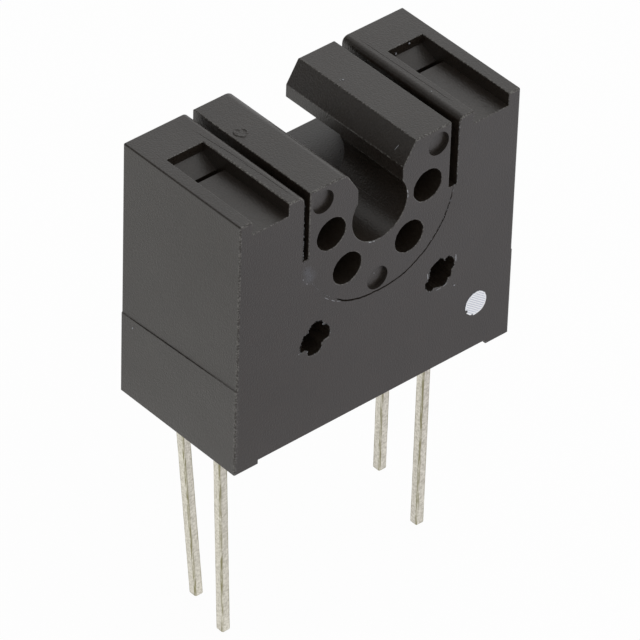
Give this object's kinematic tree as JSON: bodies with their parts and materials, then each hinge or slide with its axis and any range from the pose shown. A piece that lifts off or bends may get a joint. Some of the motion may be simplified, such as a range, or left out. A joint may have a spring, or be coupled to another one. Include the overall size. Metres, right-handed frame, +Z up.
{
  "type": "liquid tube sensor",
  "caption": "Moulded black optical sensor that clips onto a clear tube, with a light emitter and a light detector in two towers and square leads for a circuit board.",
  "frame": {"origin": "middle of the four-lead grid in the board plane, where the feet of the housing stand", "axes": "+Z up from the board, +Y towards the back of the housing, +X towards the detector tower; the tube lies along Y"},
  "size_m": [0.0154, 0.0074, 0.0246],
  "materials": {
    "housing_plastic": "fine matte black moulded plastic",
    "white_ink": "printed white ink",
    "dark_epoxy": "smooth dark moulding epoxy that passes infrared",
    "tinned_lead": "dull tin plate",
    "chip": "polished semiconductor",
    "gold_wire": "bright gold wire"
  },
  "bodies": {
    "root": {"housing": "housing_plastic", "polarity_dot": "white_ink", "emitter_package": "dark_epoxy", "emitter_cathode_lead": "tinned_lead", "emitter_anode_lead": "tinned_lead", "emitter_chip": "chip", "emitter_bond_wire": "gold_wire", "detector_package": "dark_epoxy", "detector_collector_lead": "tinned_lead", "detector_emitter_lead": "tinned_lead", "detector_chip": "chip", "detector_bond_wire": "gold_wire"}
  },
  "joints": []
}
